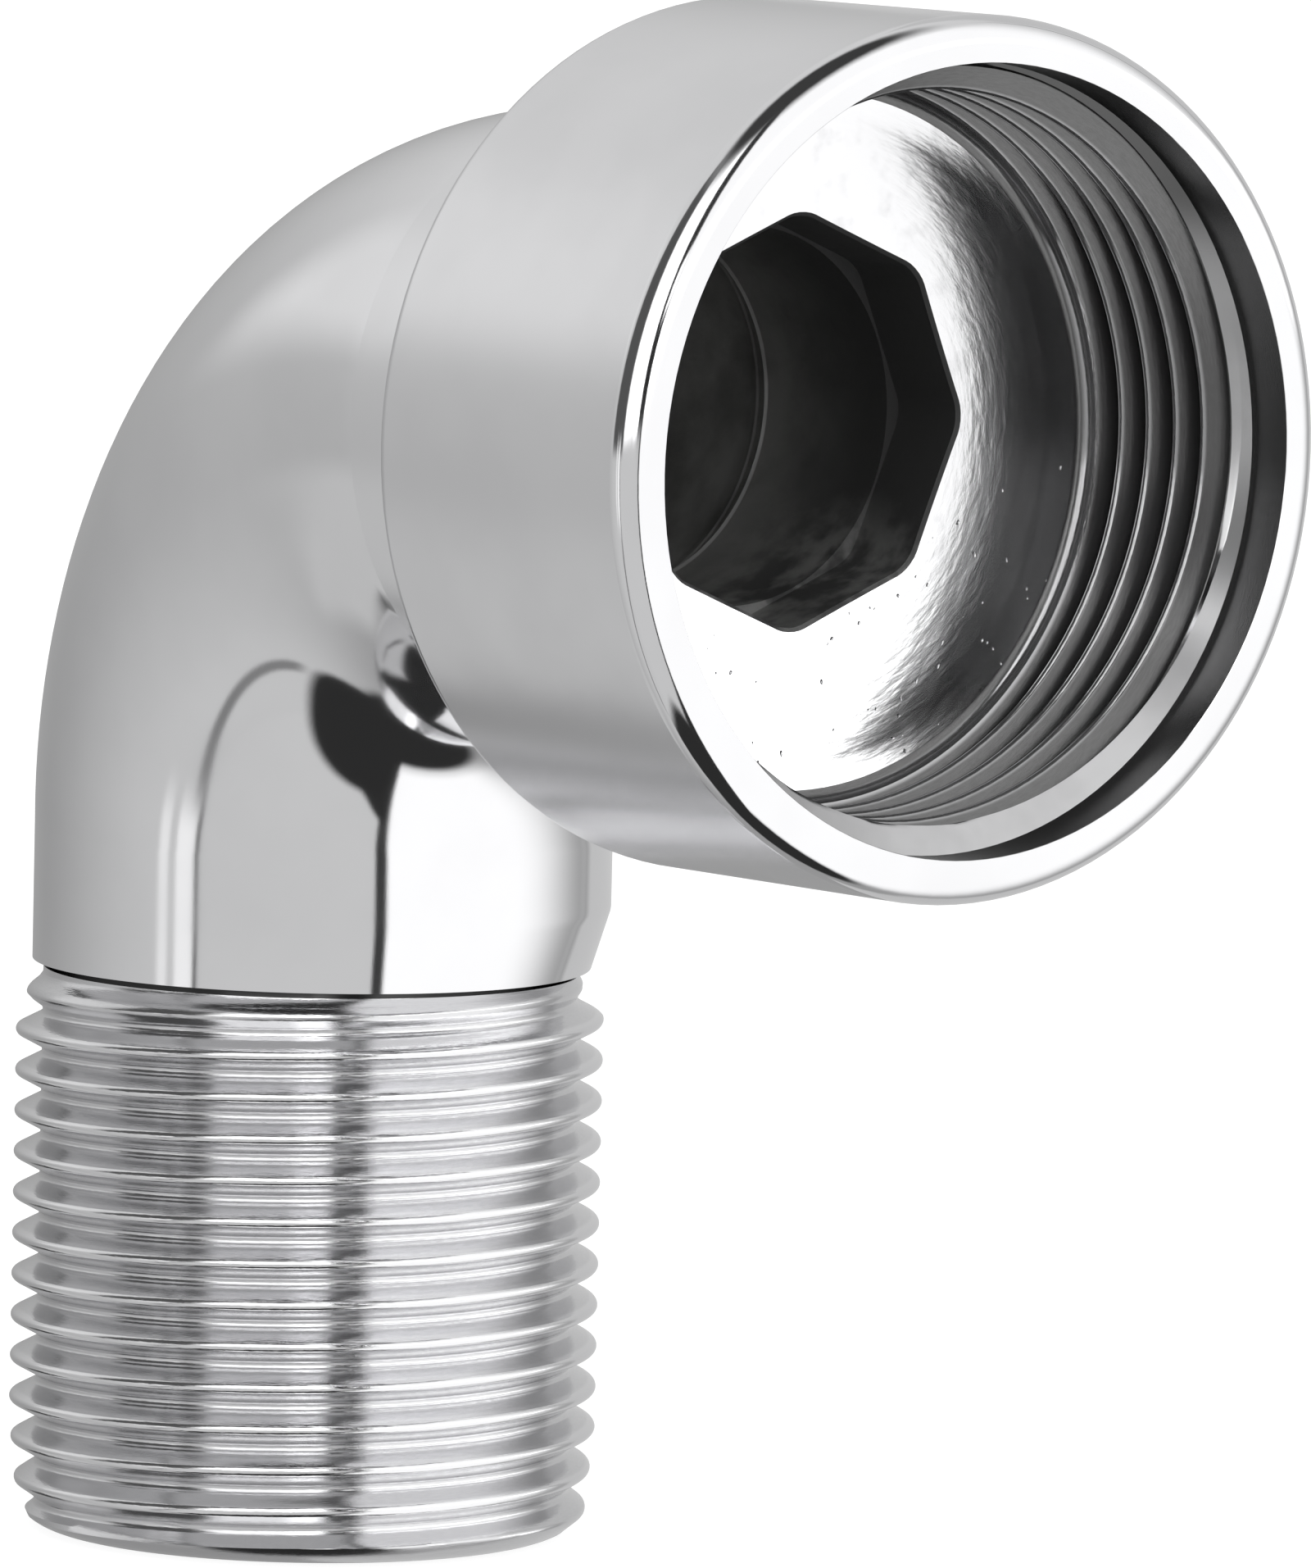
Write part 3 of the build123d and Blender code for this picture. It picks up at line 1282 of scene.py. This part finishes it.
@dataclass(frozen=True)
class Reflector:
    """A round reflector beside the elbow, whose rim mirrors as upright lines that lean away lower down.

    Attributes:
        lines: The rim's lines as they would be if they didn't lean.
        leaning: Elevations where the lines start to lean and where they lean most.
        lean: Degrees that they lean by there.
    """

    lines: tuple[Patch, ...] = (
        Patch((-67.5, -63.0), (-14, 2), 0.98, (1.5, 1.0), (4, 3)),
        Patch((-59.5, -51.5), (-15, 2), 1.08, (1.0, 0.8), (4, 3)),
        Patch((-51.2, -49.4), (-18, 2), 0.10, (0.6, 0.6), (5, 3)),
        Patch((-54.5, -49.5), (-54, -18), 0.24, (1.5, 1.5), (3, 5)),
    )
    leaning: Pair = (-14.0, -60.0)
    lean: float = -26.0

    def paint(self, graph: NodeGraph, level: Value, azimuth: Value, elevation: Value) -> Socket:
        """Draws the rim's lines over the surroundings.

        Args:
            graph: The world's nodes.
            level: Brightness of the surroundings without them.
            azimuth: Degrees to the right of the camera.
            elevation: Degrees above the horizon.

        Returns:
            The brightness with them.
        """
        upright = graph.math("SUBTRACT", azimuth, graph.ramp(elevation, *self.leaning, 0.0, self.lean))
        for line in self.lines:
            level = line.paint(graph, level, upright, elevation)
        return level


@dataclass(frozen=True)
class DarkFloor:
    """The dark floor below the elbow, which comes up higher in front of it as far as the softbox.

    Attributes:
        edge: Elevation of its edge all round.
        left_rise: Azimuths between which the edge rises on the left.
        left_height: Degrees that it rises by there.
        front_rise: Azimuths between which it rises further in front.
        front_height: Degrees that it rises by there.
        tip_rise: Azimuths between which it rises to a tip beside the softbox.
        tip_height: Degrees that it rises by there.
        right_end: Azimuths between which all three rises end.
        soft: Half the width of its soft edge, in degrees.
        level: Its brightness.
    """

    edge: float = -70.0
    left_rise: Pair = (-104.0, -76.0)
    left_height: float = 12.5
    front_rise: Pair = (-62.0, 24.0)
    front_height: float = 12.0
    tip_rise: Pair = (8.0, 30.0)
    tip_height: float = 18.0
    right_end: Pair = (24.5, 26.5)
    soft: float = 2.5
    level: float = 0.03

    def paint(self, graph: NodeGraph, level: Value, azimuth: Value, elevation: Value) -> Socket:
        """Lays the floor over the surroundings.

        Args:
            graph: The world's nodes.
            level: Brightness of the surroundings without it.
            azimuth: Degrees to the right of the camera.
            elevation: Degrees above the horizon.

        Returns:
            The brightness with it.
        """
        left = graph.ramp(azimuth, *self.left_rise, 0.0, self.left_height)
        front = graph.ramp(azimuth, *self.front_rise, 0.0, self.front_height)
        ending = graph.ramp(azimuth, *self.right_end, 1.0, 0.0)
        tip = graph.ramp(azimuth, *self.tip_rise, 0.0, self.tip_height)
        both = graph.math("ADD", left, front)
        rise = graph.math("MULTIPLY", graph.math("ADD", both, tip), ending)
        height = graph.math("SUBTRACT", elevation, rise)
        mask = graph.ramp(height, self.edge - self.soft, self.edge + self.soft, 1.0, 0.0)
        return graph.mix(mask, level, self.level)


@dataclass
class Studio:
    """The floor, the surroundings that the chrome mirrors, and the camera at the photograph's angle."""

    aim: tuple[float, float, float] = (22.05 * MM, 7.06 * MM, 43.72 * MM)
    distance: float = 800 * MM
    azimuth: float = 52.15
    elevation: float = 5.631
    roll: float = 1.303
    focal_px: float = 17694.4
    image_height_px: int = 1913
    sensor: float = 36.0
    floor_size: float = 12.0
    floor_drop: float = 0.05 * MM
    floor_glow: float = 0.86
    floor_colour: Colour = (0.3, 0.3, 0.3, 1)
    room_level: float = 0.85
    wall_ends: Pair = (150.0, 62.0)
    wall_levels: Pair = (0.37, 0.66)
    sky_ends: Pair = (-10.0, 45.0)
    sky_level: float = 0.76
    patches: tuple[Patch, ...] = (
        Patch((-49, 24), (-80, 4), 0.68, (3, 3)),  # Panel in front
        Patch((27, 106), (-67, 55), 1.25, (1.5, 22), (5, 6)),  # Softbox on the right
        Patch((127, 131), (-60, 50), 0.45, (1, 1), (4, 6)),  # Seam in the wall past the softbox
        Patch((22, 26.5), (-64, 8), 0.05, (1, 1), (2, 5)),  # Gap between panel and softbox
        Patch((134, 190), (-60, 50), 0.62, (3, 3)),  # Wall behind, on the right
        Patch((-135, -98), (14, 36), 0.85, (8, 5), (6, 6)),  # Card high on the left
        Patch((-132, -106), (-46, -13), 0.60, (4, 4), (5, 4)),  # Card low on the left
        Patch((28, 106), (2, 14), 2.6, (2, 22), (2, 3)),  # Lamp across the softbox
        Patch((-89, -43), (0, 64), 0.10, (4, 2), (2, 8)),  # Flag over the left
        Patch((-41, -5), (2, 58), 1.6, (2, 2), (2, 8)),  # Lamp over the panel
        Patch((-5, 10.5), (2, 58), 2.6, (2, 1.5), (2, 8)),  # Brighter end of that lamp
        Patch((12, 29), (1, 72), 0.03, (1.2, 1.2), (2, 6)),  # Flag between that lamp and the softbox
        Patch((20, 28), (16, 24), 2.2, (1.5, 2), (2, 2)),  # Small lamp in front of that flag
        Patch((-151, -132), (-36, -20), 0.06, (3, 3), (3, 3)),  # Dark corner behind, on the left
        Patch((-200, 200), (64, 120), 0.05, end_soft=(7, 1)),  # Dark ceiling
    )
    reflector: Reflector = Reflector()
    dark_floor: DarkFloor = DarkFloor()

    def surroundings(self) -> bpy.types.World:
        """Builds the world: white to the camera, a soft even light, and the studio's patches to the chrome.

        Returns:
            The world.
        """
        world = bpy.data.worlds.new("studio")
        world.use_nodes = True
        graph = NodeGraph(world.node_tree)
        place = graph.add("ShaderNodeTexCoord", {}).outputs["Generated"]
        heading = math.radians(90 - self.azimuth)
        turned = graph.add("ShaderNodeMapping", {"Vector": place, "Rotation": (0, 0, heading)}).outputs[0]
        ahead, right, up = graph.parts(turned)
        azimuth = graph.math("DEGREES", graph.math("ARCTAN2", right, ahead))
        elevation = graph.math("DEGREES", graph.math("ARCSINE", up))
        wall = graph.ramp(graph.math("ABSOLUTE", azimuth), *self.wall_ends, *self.wall_levels)
        level = graph.mix(graph.ramp(elevation, *self.sky_ends), wall, self.sky_level)
        for layer in (*self.patches, self.reflector, self.dark_floor):
            level = layer.paint(graph, level, azimuth, elevation)
        path = graph.add("ShaderNodeLightPath", {}).outputs
        mirrored = graph.math("MAXIMUM", path["Is Glossy Ray"], path["Is Transmission Ray"])
        level = graph.mix(mirrored, self.room_level, level)
        level = graph.mix(path["Is Camera Ray"], level, 1.0)
        shader = graph.add("ShaderNodeBackground", {"Color": level})
        graph.add("ShaderNodeOutputWorld", {"Surface": shader.outputs[0]})
        bpy.context.scene.world = world
        return world

    def floor(self) -> Piece:
        """Lays a plain pale floor that looks white and keeps a faint shadow.

        Returns:
            The floor's object.
        """
        deselect_all()
        bpy.ops.mesh.primitive_plane_add(size=self.floor_size, location=(0, 0, -self.floor_drop))
        floor = bpy.context.object
        floor.name = "floor"
        material = bpy.data.materials.new("pale_floor")
        material.use_nodes = True
        graph = NodeGraph(material.node_tree)
        matt = graph.add("ShaderNodeBsdfDiffuse", {"Color": self.floor_colour})
        seen = graph.add("ShaderNodeLightPath", {}).outputs["Is Camera Ray"]
        glow = graph.add("ShaderNodeEmission", {"Strength": graph.math("MULTIPLY", seen, self.floor_glow)})
        both = graph.add("ShaderNodeAddShader", {0: matt.outputs[0], 1: glow.outputs[0]})
        graph.add("ShaderNodeOutputMaterial", {"Surface": both.outputs[0]})
        floor.data.materials.append(material)
        floor.visible_glossy = False
        return floor

    def camera(self) -> Piece:
        """Sets up the camera.

        Returns:
            The camera's object.
        """
        azimuth, elevation, roll = (math.radians(a) for a in (self.azimuth, self.elevation, self.roll))
        back = Vector((math.sin(azimuth), -math.cos(azimuth), math.tan(elevation))).normalized()
        level = Vector((0, 0, 1)).cross(back).normalized()
        upright = back.cross(level)
        right = math.cos(roll) * level + math.sin(roll) * upright
        up = back.cross(right)
        facing = Matrix((right, up, back)).transposed().to_4x4()
        data = bpy.data.cameras.new("camera")
        data.sensor_width = self.sensor
        data.lens = self.focal_px / self.image_height_px * self.sensor
        data.clip_start = self.distance / 100
        camera = bpy.data.objects.new("camera", data)
        camera.matrix_world = Matrix.Translation(Vector(self.aim) + back * self.distance) @ facing
        bpy.context.scene.collection.objects.link(camera)
        bpy.context.scene.camera = camera
        return camera


def main() -> None:
    """Builds the elbow, then the studio round it."""
    logging.basicConfig(level=logging.INFO, format="%(name)s: %(message)s")
    piece = ElbowBody().build()
    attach(piece, BODY)
    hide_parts(NODE)
    log.info("%s: %d vertices, %d faces", piece.name, len(piece.data.vertices), len(piece.data.polygons))
    studio = Studio()
    studio.surroundings()
    studio.floor()
    studio.camera()
    bpy.context.scene.view_settings.view_transform = "Standard"


if __name__ == "__main__":
    main()
